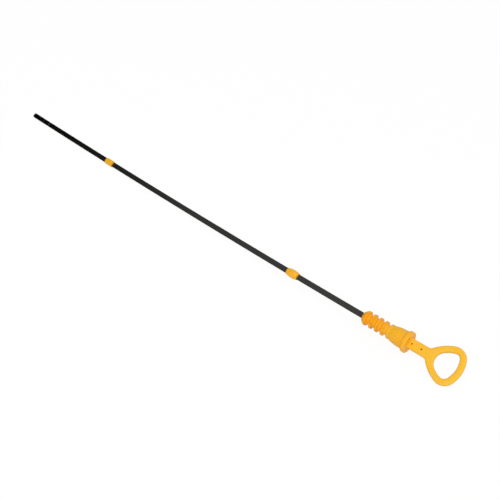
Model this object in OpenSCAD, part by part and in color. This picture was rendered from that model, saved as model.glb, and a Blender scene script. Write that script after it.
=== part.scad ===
// Engine oil dipstick: a flat steel blade with two moulded guide beads and a moulded handle.
// The handle carries the seal ribs, the seat flange and the finger loop in one moulding.
// It lies on a floor at z = 0 as it comes to rest, the loop end towards +X.

/* [Blade] */
// Length of the blade that shows, from its tip to the nose of the handle
blade_length = 416; // [300:1:600]
// Width of the flat steel strip
blade_width = 4.5; // [3.5:0.1:6]
// Thickness of the flat steel strip
blade_thickness = 1; // [0.6:0.05:1.4]
// Radius of the two rounded corners at the tip
tip_corner_r = 1.6; // [0.5:0.1:1.7]
// Sideways camber of the strip, as the offset of its middle from a straight line
blade_camber = 1.6; // [0.5:0.1:4]
// Length of the blade that is moulded into the neck, past the flange
blade_past_flange = 12; // [8:0.5:14]

/* [Level marks] */
// Distance from the tip to the low mark
low_mark_at = 17; // [8:0.5:40]
// Distance from the low mark to the full mark
mark_spacing = 8.5; // [4:0.5:40]
// Width of each mark along the blade
mark_width = 0.8; // [0.4:0.1:2]
// Depth of each mark in the blade's upper face
mark_depth = 0.15; // [0.05:0.05:0.25]

/* [Lower bead] */
// Diameter of the bead nearer the tip
lower_bead_d = 5.8; // [5.3:0.1:7]
// Length of the bead nearer the tip
lower_bead_length = 9.1; // [6:0.1:16]
// Distance from the tip to the middle of the bead
lower_bead_at = 120; // [60:0.5:160]

/* [Upper bead] */
// Largest diameter of the barrel shaped bead nearer the handle
upper_bead_d = 7; // [6.2:0.1:9]
// Diameter of the barrel at its two ends
upper_bead_end_d = 5.5; // [5.3:0.1:6]
// Length of the barrel
upper_bead_length = 10.5; // [7:0.5:18]
// Distance from the nose of the handle to the middle of the barrel
upper_bead_at = 70; // [30:0.5:120]
// Diameter of the marks left by the two mould pins
pin_mark_d = 1; // [0.6:0.1:1.6]
// Depth of those marks
pin_mark_depth = 0.4; // [0.2:0.1:0.8]
// Distance between those marks
pin_mark_spacing = 2.6; // [2:0.1:5]

/* [Nose and seal ribs] */
// Diameter of the flat end face of the nose
nose_end_d = 6.8; // [5.6:0.1:8]
// Length of the nose, from its end face to the first rib
nose_length = 2.95; // [2:0.05:5]
// Radius of the nose's curved flank
nose_flank_r = 6; // [4:0.5:12]
// Height of the first rib over the edge of the nose
nose_step = 0.15; // [0.1:0.05:0.6]
// Diameter over the crests of the ribs
rib_d = 11.7; // [11:0.1:13]
// Diameter of the core between the ribs
rib_core_d = 8.4; // [7.6:0.1:9.6]
// Number of ribs, from the one at the nose to the one at the plug
rib_count = 5; // [3:1:7]
// Distance from one rib to the next
rib_pitch = 5.2; // [4:0.05:6]
// Width of the flat crest of each rib
rib_crest = 1.3; // [0.8:0.1:1.6]
// Width of each rib where it leaves the core
rib_foot = 2.8; // [2:0.1:3.4]

/* [Plug and flange] */
// Diameter of the plug at its small end, behind the last rib
plug_small_d = 10.8; // [10.2:0.1:11]
// Diameter of the plug where it meets the flange
plug_large_d = 14.2; // [13:0.1:15]
// Length of the plug, from the last rib to the flange
plug_length = 13; // [10:0.5:20]
// Length of the straight part of the plug in front of the flange
plug_land = 3.6; // [0.5:0.1:5]
// Diameter of the seat flange
flange_d = 17; // [16:0.1:20]
// Thickness of the seat flange
flange_thickness = 3.1; // [2:0.1:5]
// Radius on the two rims of the flange
flange_rim_r = 0.5; // [0.2:0.1:0.8]

/* [Neck] */
// Width of the flat neck between the flange and the loop
neck_width = 8.4; // [6.5:0.1:10]
// Thickness of the neck and of the loop
plate_thickness = 4; // [3.2:0.1:5]
// Radius on the edges of the neck and of the loop
edge_r = 1.2; // [0.4:0.1:1.5]
// Radius in the corner between the neck and each arm of the loop
fillet_r = 3.4; // [1.5:0.1:5]
// Diameter of the two blind holes that mould pins left in each face of the neck
pin_hole_d = 1.3; // [0.8:0.1:2]
// Depth of those holes, short of the blade
pin_hole_depth = 1; // [0.4:0.1:1]
// Distance from the flange to the first pin hole
pin_hole_at = 2.4; // [1.5:0.1:4]
// Distance from the first pin hole to the second
pin_hole_spacing = 8.1; // [5:0.1:8.5]

/* [Finger loop] */
// Distance from the flange to the far edge of the loop
loop_reach = 43.8; // [40:0.1:52]
// Width of the finger hole across the handle
hole_width = 20.8; // [18:0.1:26]
// Length of the finger hole along the handle
hole_length = 17; // [15:0.1:21]
// Width of the band round the finger hole
band_width = 4.9; // [4:0.1:6]
// Radius of the finger hole at the neck
hole_apex_r = 8.4; // [5:0.1:9]
// Radius of the two far corners of the finger hole
hole_corner_r = 4.4; // [3:0.1:5.5]
// Radius of the far side of the finger hole
hole_end_r = 19; // [14:0.5:40]
// Radius of the two slanted sides of the finger hole
hole_side_r = 26.5; // [18:0.5:60]

/* [Hidden] */
$fn = 96;
steel = "#2b2b2b";
orange = "#f5a41c";
// Rounded ends of the lower bead, limited by the wall round the blade
bead_end_r = min(0.8, (lower_bead_d - blade_width) / 2);
// Steps that the cambered strip and the corners of its tip are drawn in
camber_steps = 24;
tip_steps = 8;
// Overlap that lets a cutter pass clear through a face
over = 1;

// Places along the handle, from the end face of the nose
first_rib_at = nose_length + rib_crest / 2;
plug_at = nose_length + (rib_count - 1) * rib_pitch + rib_crest;
seat_at = plug_at + plug_length;
flange_back = seat_at + flange_thickness;
loop_end = flange_back + loop_reach;

// Centres of the arcs that bound the finger hole, in the plane of the loop
hole_far = loop_end - band_width;
end_centre = [hole_far - hole_end_r, 0];
corner_y = hole_width / 2 - hole_corner_r;
corner_run = sqrt(pow(hole_end_r - hole_corner_r, 2) - pow(corner_y, 2));
corner_centre = [end_centre[0] + corner_run, corner_y];
apex_centre = [hole_far - hole_length + hole_apex_r, 0];
side_centre = tangent_centre(apex_centre, hole_side_r - hole_apex_r, corner_centre, hole_side_r - hole_corner_r);
fillet_y = neck_width / 2 + fillet_r;
side_outer_r = hole_side_r + band_width;
fillet_run = sqrt(pow(side_outer_r + fillet_r, 2) - pow(fillet_y - side_centre[1], 2));
fillet_centre = [side_centre[0] - fillet_run, fillet_y];

// Directions in which the arcs meet, in degrees from the handle's axis
apex_turn = heading(side_centre, apex_centre);
side_turn = heading(side_centre, corner_centre);
end_turn = heading(end_centre, corner_centre);
fillet_turn = heading(fillet_centre, side_centre);
// The neck starts inside the flange
neck_start = seat_at + flange_thickness / 2;
// Last points of the plate's outer edge, each with its direction into the material
neck_end = [[[neck_start, neck_width / 2], [0, -1]], [[neck_start, 0], [1, 0]]];
// Steps that each arc of the plate and the rounding of its edges are drawn in
end_steps = 4;
corner_steps = 14;
side_steps = 6;
apex_steps = 8;
edge_steps = 4;

// Radius of the strip's camber
camber_r = pow(blade_length, 2) / (8 * blade_camber) + blade_camber / 2;
lower_bead_out = blade_length - lower_bead_at;

// The part rests on the rim of the flange, the lower bead and one edge of the loop
loop_reach_y = hole_width / 2 + band_width - edge_r;
loop_reach_z = plate_thickness / 2 - edge_r;
pitch = rest_pitch(rest_roll(rest_pitch(0)));
roll = rest_roll(pitch);
nose_x = (blade_length - loop_end) / 2 * cos(pitch);
nose_z = axis_height(pitch);

function heading(from, to) = atan2(to[1] - from[1], to[0] - from[0]);

// Centre at distance r1 from point p and r2 from point q, on the side of the axis away from q
function tangent_centre(p, r1, q, r2) =
    let (d = norm(q - p))
    let (t = (d * d + r1 * r1 - r2 * r2) / (2 * d))
    let (u = (q - p) / d)
    p + t * u + sqrt(r1 * r1 - t * t) * [u[1], -u[0]];

// Height of the handle's axis at the nose, with the rim of the flange on the floor
function axis_height(tilt) = flange_d / 2 * cos(tilt) - seat_at * sin(tilt);

// Sideways offset of the cambered strip at a distance from the nose
function camber_at(distance) = camber_r - sqrt(pow(camber_r, 2) - pow(distance, 2));

// Slope at which both the flange and the lower bead touch the floor
function rest_pitch(turn) =
    asin((flange_d / 2 - lower_bead_d / 2 + camber_at(lower_bead_out) * sin(turn)) / (seat_at + lower_bead_out));

// Roll at which the edge of the loop touches the floor
function rest_roll(tilt) =
    let (drop = (axis_height(tilt) + corner_centre[0] * sin(tilt)) / cos(tilt) - edge_r)
    asin(drop / norm([loop_reach_y, loop_reach_z])) - atan2(loop_reach_z, loop_reach_y);

// Sets what is drawn along the handle's axis into its place at rest
module at_rest() {
    translate([nose_x, 0, nose_z])
        rotate([0, -pitch, 0])
            rotate([roll, 0, 0])
                children();
}

// Sets what is drawn along +X from the strip's own line into place at a distance from the nose
module on_blade(distance) {
    turn = asin(distance / camber_r);
    translate([-distance, camber_at(distance), 0])
        rotate([0, 0, -turn])
            children();
}

// Turns a profile drawn as radius and length into a solid along the X axis
module along_x() {
    rotate([90, 0, 90])
        rotate_extrude()
            children();
}

// Point of the strip at a distance from the nose and at an offset from its middle line
function on_strip(distance, offset) =
    let (turn = asin(distance / camber_r))
    [-(camber_r - offset) * sin(turn), camber_r - (camber_r - offset) * cos(turn)];

// One long edge of the strip, from the nose to the rounded corner at the tip
function strip_edge(side) = [
    for (i = [0 : camber_steps])
        on_strip((blade_length - tip_corner_r) * i / camber_steps, side * blade_width / 2)
];

// One rounded corner of the tip, from the long edge to the end
function strip_corner(side) = [
    for (i = [1 : tip_steps])
        let (turn = 90 * i / tip_steps)
        on_strip(
            blade_length - tip_corner_r * (1 - sin(turn)),
            side * (blade_width / 2 - tip_corner_r * (1 - cos(turn)))
        )
];

function strip_side(side) = concat(
    [[flange_back + blade_past_flange, side * blade_width / 2]],
    strip_edge(side),
    strip_corner(side)
);

function reversed(list) = [for (i = [len(list) - 1 : -1 : 0]) list[i]];

module strip() {
    linear_extrude(blade_thickness, center = true)
        polygon(concat(strip_side(-1), reversed(strip_side(1))));
}

module level_mark(distance) {
    on_blade(blade_length - distance)
        translate([-mark_width / 2, -blade_width, blade_thickness / 2 - mark_depth])
            cube([mark_width, 2 * blade_width, over]);
}

module dipstick_blade() {
    color(steel)
        at_rest()
            difference() {
                strip();
                level_mark(low_mark_at);
                level_mark(low_mark_at + mark_spacing);
            }
}

module lower_guide_bead() {
    color(orange)
        at_rest()
            difference() {
                on_blade(lower_bead_out)
                    along_x()
                        lower_bead_profile();
                strip();
            }
}

module lower_bead_profile() {
    half = lower_bead_length / 2;
    r = lower_bead_d / 2;
    translate([0, -half])
        square([r - bead_end_r, 2 * half]);
    translate([0, bead_end_r - half])
        square([r, 2 * (half - bead_end_r)]);
    for (end = [-1, 1])
        translate([r - bead_end_r, end * (half - bead_end_r)])
            circle(bead_end_r);
}

module upper_guide_bead() {
    color(orange)
        at_rest()
            difference() {
                on_blade(upper_bead_at)
                    difference() {
                        along_x()
                            barrel_profile();
                        for (end = [-1, 1], face = [-1, 1])
                            translate([end * pin_mark_spacing / 2, 0, face * upper_bead_d / 2])
                                cylinder(h = 2 * pin_mark_depth, d = pin_mark_d, center = true);
                    }
                strip();
            }
}

module barrel_profile() {
    for (end = [0, 1])
        mirror([0, end])
            translate([0, -upper_bead_length / 2])
                level_bulge(upper_bead_length / 2, upper_bead_end_d / 2, upper_bead_d / 2);
}

module handle() {
    color(orange)
        at_rest()
            difference() {
                union() {
                    along_x()
                        ribbed_plug_profile();
                    neck_and_loop();
                }
                strip();
                pin_holes();
            }
}

// Profile from one radius to a larger one, along an arc that bulges outward
module bulge(length, from_r, to_r, arc_r) {
    chord = [to_r - from_r, length];
    inward = [-length, to_r - from_r] / norm(chord);
    centre = [from_r, 0] + chord / 2 + sqrt(pow(arc_r, 2) - pow(norm(chord) / 2, 2)) * inward;
    square([from_r, length]);
    intersection() {
        square([to_r, length]);
        translate(centre)
            circle(arc_r);
    }
}

// The same, with the arc that runs level at the larger radius
module level_bulge(length, from_r, to_r) {
    rise = to_r - from_r;
    bulge(length, from_r, to_r, (pow(length, 2) + pow(rise, 2)) / (2 * rise));
}

// Nose, ribs, plug and flange as one profile, drawn as radius and length
module ribbed_plug_profile() {
    bulge(nose_length, nose_end_d / 2, rib_d / 2 - nose_step, nose_flank_r);
    translate([0, nose_length])
        square([rib_core_d / 2, flange_back - nose_length]);
    for (i = [0 : rib_count - 1])
        rib_profile(first_rib_at + i * rib_pitch);
    plug_profile();
    flange_profile();
}

module rib_profile(crest_at) {
    polygon([
        [0, crest_at - rib_foot / 2],
        [rib_core_d / 2, crest_at - rib_foot / 2],
        [rib_d / 2, crest_at - rib_crest / 2],
        [rib_d / 2, crest_at + rib_crest / 2],
        [rib_core_d / 2, crest_at + rib_foot / 2],
        [0, crest_at + rib_foot / 2]
    ]);
}

module plug_profile() {
    translate([0, plug_at])
        level_bulge(plug_length - plug_land, plug_small_d / 2, plug_large_d / 2);
    translate([0, seat_at - plug_land])
        square([plug_large_d / 2, plug_land]);
}

module flange_profile() {
    translate([0, seat_at])
        square([flange_d / 2 - flange_rim_r, flange_thickness]);
    translate([0, seat_at + flange_rim_r])
        square([flange_d / 2, flange_thickness - 2 * flange_rim_r]);
    for (z = [seat_at + flange_rim_r, flange_back - flange_rim_r])
        translate([flange_d / 2 - flange_rim_r, z])
            circle(flange_rim_r);
}

function towards(turn) = [cos(turn), sin(turn)];

// Points of an arc after its first one, each with its direction into the material
function edge_arc(centre, r, from, to, steps, inward, first = 1) = [
    for (i = [first : steps])
        let (out = towards(from + (to - from) * i / steps))
        [centre + r * out, inward * out]
];

// Edge of the finger hole, from its far side round to the neck
function hole_edge() = concat(
    edge_arc(end_centre, hole_end_r, 0, end_turn, end_steps, 1, 0),
    edge_arc(corner_centre, hole_corner_r, end_turn, side_turn, corner_steps, 1),
    edge_arc(side_centre, hole_side_r, side_turn, apex_turn, side_steps, 1),
    edge_arc(apex_centre, hole_apex_r, apex_turn, 180, apex_steps, 1)
);

// Outer edge, from the far side round the fillet and along the neck into the flange
function outer_edge() = concat(
    edge_arc(end_centre, hole_end_r + band_width, 0, end_turn, end_steps, -1, 0),
    edge_arc(corner_centre, hole_corner_r + band_width, end_turn, side_turn, corner_steps, -1),
    edge_arc(side_centre, side_outer_r, side_turn, fillet_turn + 180, side_steps, -1),
    edge_arc(fillet_centre, fillet_r, fillet_turn, -90, apex_steps - len(neck_end), 1),
    neck_end
);

// Closes a half edge with its mirror image, without repeating the points on the axis
function mirrored(edge) = concat(
    edge,
    [for (i = [len(edge) - 2 : -1 : 1]) [flipped(edge[i][0]), flipped(edge[i][1])]]
);

function flipped(p) = [p[0], -p[1]];

// Quarter round on one edge, listed from the side wall to the flat face or back
function rounding(edge_at, face, order) = [
    for (i = order)
        let (turn = 90 * i / edge_steps)
        let (p = edge_at[0] + edge_r * (1 - cos(turn)) * edge_at[1])
        [p[0], p[1], face * (plate_thickness / 2 - edge_r * (1 - sin(turn)))]
];

// Flat neck and finger loop as one plate with rounded edges
module neck_and_loop() {
    inner = mirrored(hole_edge());
    outer = mirrored(outer_edge());
    count = len(inner);
    up = [0 : edge_steps];
    down = [edge_steps : -1 : 0];
    points = [
        for (k = [0 : count - 1])
            each concat(
                rounding(outer[k], 1, up),
                rounding(inner[k], 1, down),
                rounding(inner[k], -1, up),
                rounding(outer[k], -1, down)
            )
    ];
    around = 4 * (edge_steps + 1);
    function at(k, j) = (k % count) * around + j % around;
    faces = [
        for (k = [0 : count - 1], j = [0 : around - 1])
            each [
                [at(k, j), at(k + 1, j + 1), at(k + 1, j)],
                [at(k, j), at(k, j + 1), at(k + 1, j + 1)]
            ]
    ];
    polyhedron(points, faces);
}

module pin_holes() {
    for (i = [0, 1], face = [-1, 1])
        translate([flange_back + pin_hole_at + i * pin_hole_spacing, 0, face * plate_thickness / 2])
            cylinder(h = 2 * pin_hole_depth, d = pin_hole_d, center = true);
}

dipstick_blade();
lower_guide_bead();
upper_guide_bead();
handle();
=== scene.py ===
import math

import bpy
from mathutils import Matrix, Vector

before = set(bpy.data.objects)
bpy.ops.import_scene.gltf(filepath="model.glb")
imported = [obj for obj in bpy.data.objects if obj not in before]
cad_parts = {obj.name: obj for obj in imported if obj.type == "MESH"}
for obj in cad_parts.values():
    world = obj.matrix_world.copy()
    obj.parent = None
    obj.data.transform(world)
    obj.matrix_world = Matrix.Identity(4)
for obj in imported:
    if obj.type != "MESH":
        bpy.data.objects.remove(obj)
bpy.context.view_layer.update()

# Lengths are in metres, angles in degrees and colours in linear light.

# Camera. Azimuth 0 looks along +Y and 90 along -X.
CAM_PLACE = Vector((0.389226, -0.395406, 0.445291))
CAM_AZIMUTH, CAM_ELEVATION, CAM_ROLL = 40.663, 40.245, 2.47
CAM_LENS, CAM_SENSOR, CAM_NEAR = 59.47, 36.0, 0.01

# Sizes shared with the source. Places along the part count from the nose, towards the loop.
NOSE = Vector((0.165486, 0.0, 0.00767108))
PITCH, ROLL = 1.24527, 31.6975
BLADE_LENGTH = 0.416
LOW_MARK_AT, MARK_SPACING, MARK_WIDTH = 0.017, 0.0085, 0.0008
PIN_HOLES_AT, PIN_HOLE_R, NECK_FACE = (0.04355, 0.05165), 0.00065, 0.002

# Plastic: the handle's and the beads' colour drifts from one end of a stretch of the part to the other; on the handle
# this is painted shade at the nose and painted sheen towards the loop, on the beads painted shade towards the tip
HANDLE_SHADE_TO_SHEEN, HANDLE_NOSE_SHADE, HANDLE_LOOP_SHEEN = (0.0, 0.06), (0.92, 0.365, 0.001), (0.93, 0.51, 0.028)
BEAD_SHADE_STRETCH, BEAD_TIPWARD_SHADE, BEAD_FAR = (-0.30, -0.065), (0.86, 0.43, 0.010), (0.93, 0.455, 0.020)
DEEPER, DEEPER_SHARE = (0.90, 0.33, 0.0), 0.16
PALER, PALER_SHARE = (0.97, 0.60, 0.05), 0.12
SCUFFED, SCUFFED_SHARE = (0.97, 0.66, 0.20), 0.24
# Painted shade: deep brown inside the pin holes of the neck
HOLE_SHADE, HOLE_SHADE_SHARE = (0.42, 0.13, 0.002), 0.9
# Painted light: a paler band over the small end of the plug, where it faces away from the light
PLUG_PAINTED_LIGHT, PLUG_LIGHT_SHARE = (0.019, 0.025, 0.027, 0.036), 0.34
SEAM_FLAT, SEAM_FOOT = 0.00003, 0.00012
PLASTIC_EDGE_R, PLASTIC_IOR, PLASTIC_SPECULAR = 0.00025, 1.45, 0.3

# Steel: from near black at the tip of the blade, the colour turns dark grey over the first stretch below, in metres
# from the tip
DARK_TIP_SPAN, DARK_TIP_WAVER = (0.03, 0.24), 0.02
NEAR_BLACK, DARK_GREY = (0.0016, 0.0015, 0.0012), (0.0215, 0.0205, 0.0188)
NEAR_BLACK_BLOTCH, DARK_GREY_BLOTCH, BLOTCH_SHARE = (0.0015, 0.0014, 0.001), (0.028, 0.026, 0.024), 0.35
ROLLED, ROLLED_SHARE = (0.035, 0.033, 0.03), 0.45
RUBBED_MARK, LOW_MARK_SHARE = (0.030, 0.031, 0.026), 0.4
CUT_EDGE, CUT_EDGE_ROUGH, CUT_EDGE_FACING = (0.002, 0.002, 0.002), 1.0, (0.5, 0.8)
STEEL_IOR = 1.5

# Waves per metre of the noises
CLOUD_WAVES, FLOW_WAVES, SKIN_WAVES, SCUFF_WAVES = 90.0, 260.0, 2600.0, 900.0
STREAK_WAVES, BLOTCH_WAVES, FLOOR_WAVES = 1800.0, 110.0, 40.0

# Floor, and how much of its plain white a ray sees; the rest takes the light and the shadow
FLOOR_HALF, FLOOR_SHARE_SEEN = 4.0, 0.93
FLOOR_DULL, FLOOR_PALE, WHITE = (0.68, 0.68, 0.68), (0.70, 0.70, 0.70), (1.0, 1.0, 1.0)

# Sky: each level runs from one value to the other as a ray turns towards the side it belongs to
DARK_SIDE, DARK_LEVELS = (-0.90, -0.17, 0.40), (0.58, 0.92, 1.0, 0.0)
BRIGHT_SIDE, BRIGHT_LEVELS = (0.45, -0.40, 0.80), (-0.6, 0.85, 0.64, 0.88)
SKY_SEEN = (0.98, 0.98, 0.98, 1.0)


# Nodes

class Graph:
    """Small helper that adds nodes to one material and joins them up."""

    def __init__(self, name):
        self.material = bpy.data.materials.new(name)
        self.material.use_nodes = True
        self.tree = self.material.node_tree
        self.tree.nodes.clear()

    def add(self, kind, **values):
        node = self.tree.nodes.new(kind)
        for key, value in values.items():
            setattr(node, key, value)
        return node

    def put(self, value, socket):
        if isinstance(value, bpy.types.NodeSocket):
            self.tree.links.new(value, socket)
        elif value is not None:
            socket.default_value = value

    def math(self, operation, a, b=None):
        node = self.add("ShaderNodeMath", operation=operation)
        self.put(a, node.inputs[0])
        self.put(b, node.inputs[1])
        return node.outputs[0]

    def square(self, value):
        return self.math("MULTIPLY", value, value)

    def mix(self, factor, a, b):
        node = self.add("ShaderNodeMix", data_type="RGBA")
        self.put(factor, node.inputs["Factor"])
        for value, index in ((a, 6), (b, 7)):
            self.put(value if isinstance(value, bpy.types.NodeSocket) else (*value, 1.0), node.inputs[index])
        return node.outputs[2]

    def ramp(self, value, low, high, to_low=0.0, to_high=1.0):
        node = self.add("ShaderNodeMapRange", clamp=True)
        for socket, number in zip(node.inputs, (value, low, high, to_low, to_high)):
            self.put(number, socket)
        return node.outputs[0]

    def noise(self, vector, scale, detail=2.0, roughness=0.5):
        node = self.add("ShaderNodeTexNoise", noise_dimensions="3D")
        self.put(vector, node.inputs["Vector"])
        self.put(scale, node.inputs["Scale"])
        self.put(detail, node.inputs["Detail"])
        self.put(roughness, node.inputs["Roughness"])
        return node.outputs["Fac"]

    def along_part(self, stretch=(1.0, 1.0, 1.0)):
        """Place in the part's own frame: x runs from the nose towards the loop."""
        place = self.add("ShaderNodeTexCoord").outputs["Object"]
        turned = self.add("ShaderNodeMapping", vector_type="TEXTURE")
        self.put(place, turned.inputs["Vector"])
        turned.inputs["Location"].default_value = NOSE
        turned.inputs["Rotation"].default_value = part_turn().to_euler()
        scaled = self.add("ShaderNodeMapping", vector_type="POINT")
        self.put(turned.outputs[0], scaled.inputs["Vector"])
        scaled.inputs["Scale"].default_value = stretch
        return scaled.outputs[0]

    def split(self, vector):
        node = self.add("ShaderNodeSeparateXYZ")
        self.put(vector, node.inputs[0])
        return node.outputs

    def bump(self, height, distance, strength, under=None):
        node = self.add("ShaderNodeBump")
        self.put(height, node.inputs["Height"])
        node.inputs["Distance"].default_value = distance
        node.inputs["Strength"].default_value = strength
        if under is not None:
            self.put(under, node.inputs["Normal"])
        return node.outputs[0]

    def soft_edges(self, radius):
        node = self.add("ShaderNodeBevel", samples=6)
        node.inputs["Radius"].default_value = radius
        return node.outputs[0]

    def blend(self, factor, a, b):
        node = self.add("ShaderNodeMixShader")
        for value, socket in zip((factor, a, b), node.inputs):
            self.put(value, socket)
        return node.outputs[0]

    def surface(self, **sockets):
        shader = self.add("ShaderNodeBsdfPrincipled")
        for key, value in sockets.items():
            self.put(value, shader.inputs[key.replace("_", " ")])
        return self.finish(shader.outputs[0])

    def finish(self, shader):
        out = self.add("ShaderNodeOutputMaterial")
        self.put(shader, out.inputs["Surface"])
        return self.material


def part_turn():
    return Matrix.Rotation(-math.radians(PITCH), 4, "Y") @ Matrix.Rotation(math.radians(ROLL), 4, "X")


# Materials

def inside_hole(g, x, y, z, hole_x):
    """1 on the wall and floor of a pin hole in the neck, 0 elsewhere."""
    from_hole = g.math("SQRT", g.math("ADD", g.square(g.math("SUBTRACT", x, hole_x)), g.square(y)))
    within = g.ramp(from_hole, PIN_HOLE_R, PIN_HOLE_R * 1.15, 1.0, 0.0)
    below = g.ramp(g.math("ABSOLUTE", z), NECK_FACE - 0.0002, NECK_FACE - 0.00005, 1.0, 0.0)
    return g.math("MULTIPLY", within, below)


def moulded_plastic(name, reach, near, far, plug_painted_light=None, holes=()):
    """Moulded plastic: colour drifting along the part, clouds, scuffs, a parting line, painted shade in the pin
    holes.
    """
    g = Graph(name)
    place = g.along_part()
    x, y, z = g.split(place)
    clouds = g.noise(place, CLOUD_WAVES, 3.0)
    flow = g.noise(g.along_part((0.25, 1.0, 1.0)), FLOW_WAVES, 2.0)
    skin = g.noise(place, SKIN_WAVES, 2.0)
    scuff = g.noise(g.along_part((1.0, 0.12, 0.12)), SCUFF_WAVES, 4.0, 0.6)
    # the drift is painted shade at the handle's nose and painted sheen towards its loop, and painted shade on the
    # bead nearer the tip
    colour = g.mix(g.ramp(x, *reach), near, far)
    colour = g.mix(g.ramp(clouds, 0.4, 0.68, 0.0, DEEPER_SHARE), colour, DEEPER)
    colour = g.mix(g.ramp(flow, 0.5, 0.75, 0.0, PALER_SHARE), colour, PALER)
    # painted light: a paler band over the plug
    if plug_painted_light:
        start, full, ease, end = plug_painted_light
        plug_light = g.math("MULTIPLY", g.ramp(x, start, full), g.ramp(x, ease, end, PLUG_LIGHT_SHARE, 0.0))
        colour = g.mix(plug_light, colour, PALER)
    # painted shade inside the pin holes
    for hole_x in holes:
        colour = g.mix(g.math("MULTIPLY", inside_hole(g, x, y, z, hole_x), HOLE_SHADE_SHARE), colour, HOLE_SHADE)
    colour = g.mix(g.ramp(scuff, 0.6, 0.76, 0.0, SCUFFED_SHARE), colour, SCUFFED)
    rough = g.math("ADD", g.ramp(clouds, 0.3, 0.7, 0.3, 0.42), g.ramp(scuff, 0.6, 0.74, 0.0, 0.16))
    seam = g.ramp(g.math("ABSOLUTE", z), SEAM_FLAT, SEAM_FOOT, 1.0, 0.0)
    normal = g.bump(seam, 0.00005, 0.7, g.soft_edges(PLASTIC_EDGE_R))
    normal = g.bump(skin, 0.00005, 0.7, normal)
    normal = g.bump(clouds, 0.0002, 0.35, normal)
    return g.surface(Base_Color=colour, Roughness=rough, Normal=normal, IOR=PLASTIC_IOR,
                     Specular_IOR_Level=PLASTIC_SPECULAR)


def level_marks(g, from_tip):
    """1 on the full mark, less on the low mark and 0 elsewhere."""
    from_mark = g.math("ABSOLUTE", g.math("SUBTRACT", from_tip, LOW_MARK_AT + MARK_SPACING / 2))
    from_mark = g.math("ABSOLUTE", g.math("SUBTRACT", from_mark, MARK_SPACING / 2))
    band = g.ramp(from_mark, MARK_WIDTH * 0.5, MARK_WIDTH * 1.8, 1.0, 0.0)
    return g.math("MULTIPLY", band, g.ramp(from_tip, LOW_MARK_AT, LOW_MARK_AT + MARK_SPACING, LOW_MARK_SHARE, 1.0))


def cut_edges(g):
    """1 on the strip's two narrow sides, 0 on its faces."""
    across = part_turn().to_3x3() @ Vector((0.0, 1.0, 0.0))
    facing = g.add("ShaderNodeVectorMath", operation="DOT_PRODUCT")
    g.put(g.add("ShaderNodeNewGeometry").outputs["Normal"], facing.inputs[0])
    facing.inputs[1].default_value = across
    return g.ramp(g.math("ABSOLUTE", facing.outputs["Value"]), *CUT_EDGE_FACING)


def blackened_steel(name):
    """Dark oxide strip: rolling streaks along it, darker towards the tip, rubbed marks, matt cut edges."""
    g = Graph(name)
    streaks = g.noise(g.along_part((0.04, 1.0, 1.0)), STREAK_WAVES, 4.0, 0.65)
    blotch = g.noise(g.along_part((0.35, 1.0, 1.0)), BLOTCH_WAVES, 3.0)
    from_tip = g.math("ADD", g.split(g.along_part())[0], BLADE_LENGTH)
    waver = g.ramp(blotch, 0.3, 0.7, -DARK_TIP_WAVER, DARK_TIP_WAVER)
    # 0 near black at the tip, 1 dark grey further up the blade
    greyer = g.ramp(g.math("ADD", from_tip, waver), *DARK_TIP_SPAN)
    colour = g.mix(greyer, NEAR_BLACK, DARK_GREY)
    colour = g.mix(g.ramp(blotch, 0.4, 0.7, 0.0, BLOTCH_SHARE), colour, g.mix(greyer, NEAR_BLACK_BLOTCH, DARK_GREY_BLOTCH))
    colour = g.mix(g.math("MULTIPLY", g.ramp(streaks, 0.55, 0.8, 0.0, ROLLED_SHARE), greyer), colour, ROLLED)
    colour = g.mix(level_marks(g, from_tip), colour, RUBBED_MARK)
    rough = g.math("MULTIPLY", g.ramp(streaks, 0.3, 0.8, 0.30, 0.46), g.ramp(greyer, 0.0, 1.0, 0.6, 1.0))
    edge = cut_edges(g)
    colour = g.mix(edge, colour, CUT_EDGE)
    rough = g.math("MAXIMUM", rough, g.math("MULTIPLY", edge, CUT_EDGE_ROUGH))
    normal = g.bump(streaks, 0.00004, 0.5)
    return g.surface(Base_Color=colour, Roughness=rough, Normal=normal, IOR=STEEL_IOR)


def pale_floor(name):
    """White sweep that shows as the plain background and keeps a soft shadow."""
    g = Graph(name)
    rays = g.add("ShaderNodeLightPath").outputs
    mirrored = g.math("MAXIMUM", rays["Is Glossy Ray"], rays["Is Transmission Ray"])
    seen = g.math("MAXIMUM", rays["Is Camera Ray"], mirrored)
    grain = g.noise(g.add("ShaderNodeTexCoord").outputs["Object"], FLOOR_WAVES, 2.0)
    card = g.add("ShaderNodeBsdfDiffuse")
    g.put(g.mix(rays["Is Camera Ray"], g.mix(grain, FLOOR_DULL, FLOOR_PALE), WHITE), card.inputs["Color"])
    glow = g.add("ShaderNodeEmission")
    glow.inputs["Strength"].default_value = 1.0
    return g.finish(g.blend(g.math("MULTIPLY", seen, FLOOR_SHARE_SEEN), card.outputs[0], glow.outputs[0]))


def dress(node, material):
    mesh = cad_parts[node].data
    for index in range(len(mesh.materials)):
        mesh.materials[index] = material


ORANGE = moulded_plastic("handle_plastic", HANDLE_SHADE_TO_SHEEN, HANDLE_NOSE_SHADE, HANDLE_LOOP_SHEEN, PLUG_PAINTED_LIGHT, PIN_HOLES_AT)
BEAD = moulded_plastic("bead_plastic", BEAD_SHADE_STRETCH, BEAD_TIPWARD_SHADE, BEAD_FAR)
STEEL = blackened_steel("blade_steel")
dress("handle", ORANGE)
dress("lower_guide_bead", BEAD)
dress("upper_guide_bead", BEAD)
dress("dipstick_blade", STEEL)


# Floor

def floor_plane(half):
    mesh = bpy.data.meshes.new("floor")
    mesh.from_pydata([(-half, -half, 0), (half, -half, 0), (half, half, 0), (-half, half, 0)], [], [(0, 1, 2, 3)])
    floor = bpy.data.objects.new("floor", mesh)
    mesh.materials.append(pale_floor("floor_card"))
    bpy.context.scene.collection.objects.link(floor)


floor_plane(FLOOR_HALF)


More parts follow.
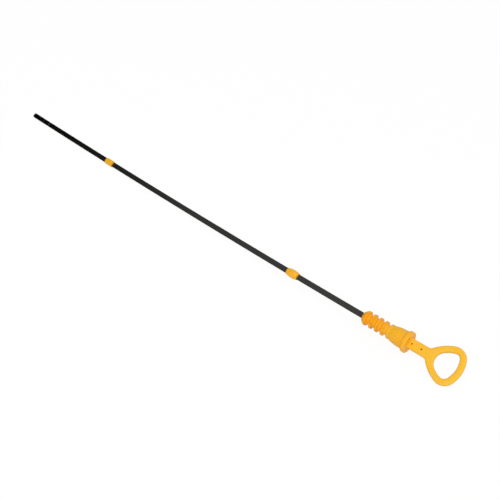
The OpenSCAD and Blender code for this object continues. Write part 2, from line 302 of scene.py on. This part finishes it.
# Light

def panel(name, place, size, power):
    """Rectangular lamp of so many watts, aimed at the origin."""
    lamp = bpy.data.lights.new(name, "AREA")
    lamp.shape = "RECTANGLE"
    lamp.size, lamp.size_y = size
    lamp.energy = power
    lit = bpy.data.objects.new(name, lamp)
    lit.location = place
    lit.rotation_euler = (-Vector(place)).to_track_quat("-Z", "Y").to_euler()
    bpy.context.scene.collection.objects.link(lit)


def sky():
    """Soft light, brightest above the camera and dark low over the tip, where the blade mirrors it."""
    world = bpy.data.worlds.new("studio")
    bpy.context.scene.world = world
    world.use_nodes = True
    tree = world.node_tree
    tree.nodes.clear()
    place = tree.nodes.new("ShaderNodeTexCoord").outputs["Generated"]

    def level(side, from_min, from_max, to_min, to_max):
        facing = tree.nodes.new("ShaderNodeVectorMath")
        facing.operation = "DOT_PRODUCT"
        tree.links.new(place, facing.inputs[0])
        facing.inputs[1].default_value = Vector(side).normalized()
        ramp = tree.nodes.new("ShaderNodeMapRange")
        ramp.interpolation_type = "SMOOTHSTEP"
        tree.links.new(facing.outputs["Value"], ramp.inputs["Value"])
        for socket, number in zip(("From Min", "From Max", "To Min", "To Max"), (from_min, from_max, to_min, to_max)):
            ramp.inputs[socket].default_value = number
        return ramp.outputs[0]

    both_levels = tree.nodes.new("ShaderNodeMath")
    both_levels.operation = "MULTIPLY"
    tree.links.new(level(DARK_SIDE, *DARK_LEVELS), both_levels.inputs[0])
    tree.links.new(level(BRIGHT_SIDE, *BRIGHT_LEVELS), both_levels.inputs[1])
    soft = tree.nodes.new("ShaderNodeBackground")
    tree.links.new(both_levels.outputs[0], soft.inputs["Color"])
    seen = tree.nodes.new("ShaderNodeBackground")
    seen.inputs["Color"].default_value = SKY_SEEN
    both = tree.nodes.new("ShaderNodeMixShader")
    out = tree.nodes.new("ShaderNodeOutputWorld")
    tree.links.new(tree.nodes.new("ShaderNodeLightPath").outputs["Is Camera Ray"], both.inputs[0])
    tree.links.new(soft.outputs[0], both.inputs[1])
    tree.links.new(seen.outputs[0], both.inputs[2])
    tree.links.new(both.outputs[0], out.inputs["Surface"])


sky()
panel("overhead", (-0.1, 0.3, 1.6), (1.6, 1.2), 2.3)
panel("camera_side", (0.50, -1.05, 1.1), (1.2, 1.0), 8.6)


# Camera

def camera():
    data = bpy.data.cameras.new("camera")
    data.lens = CAM_LENS
    data.sensor_width = CAM_SENSOR
    data.clip_start = CAM_NEAR
    eye = bpy.data.objects.new("camera", data)
    turn = Matrix.Rotation(math.radians(CAM_AZIMUTH), 4, "Z")
    tip = Matrix.Rotation(math.radians(90.0 - CAM_ELEVATION), 4, "X")
    roll = Matrix.Rotation(math.radians(CAM_ROLL), 4, "Z")
    eye.matrix_world = Matrix.Translation(CAM_PLACE) @ turn @ tip @ roll
    bpy.context.scene.collection.objects.link(eye)
    bpy.context.scene.camera = eye


camera()
bpy.context.scene.view_settings.view_transform = "Standard"
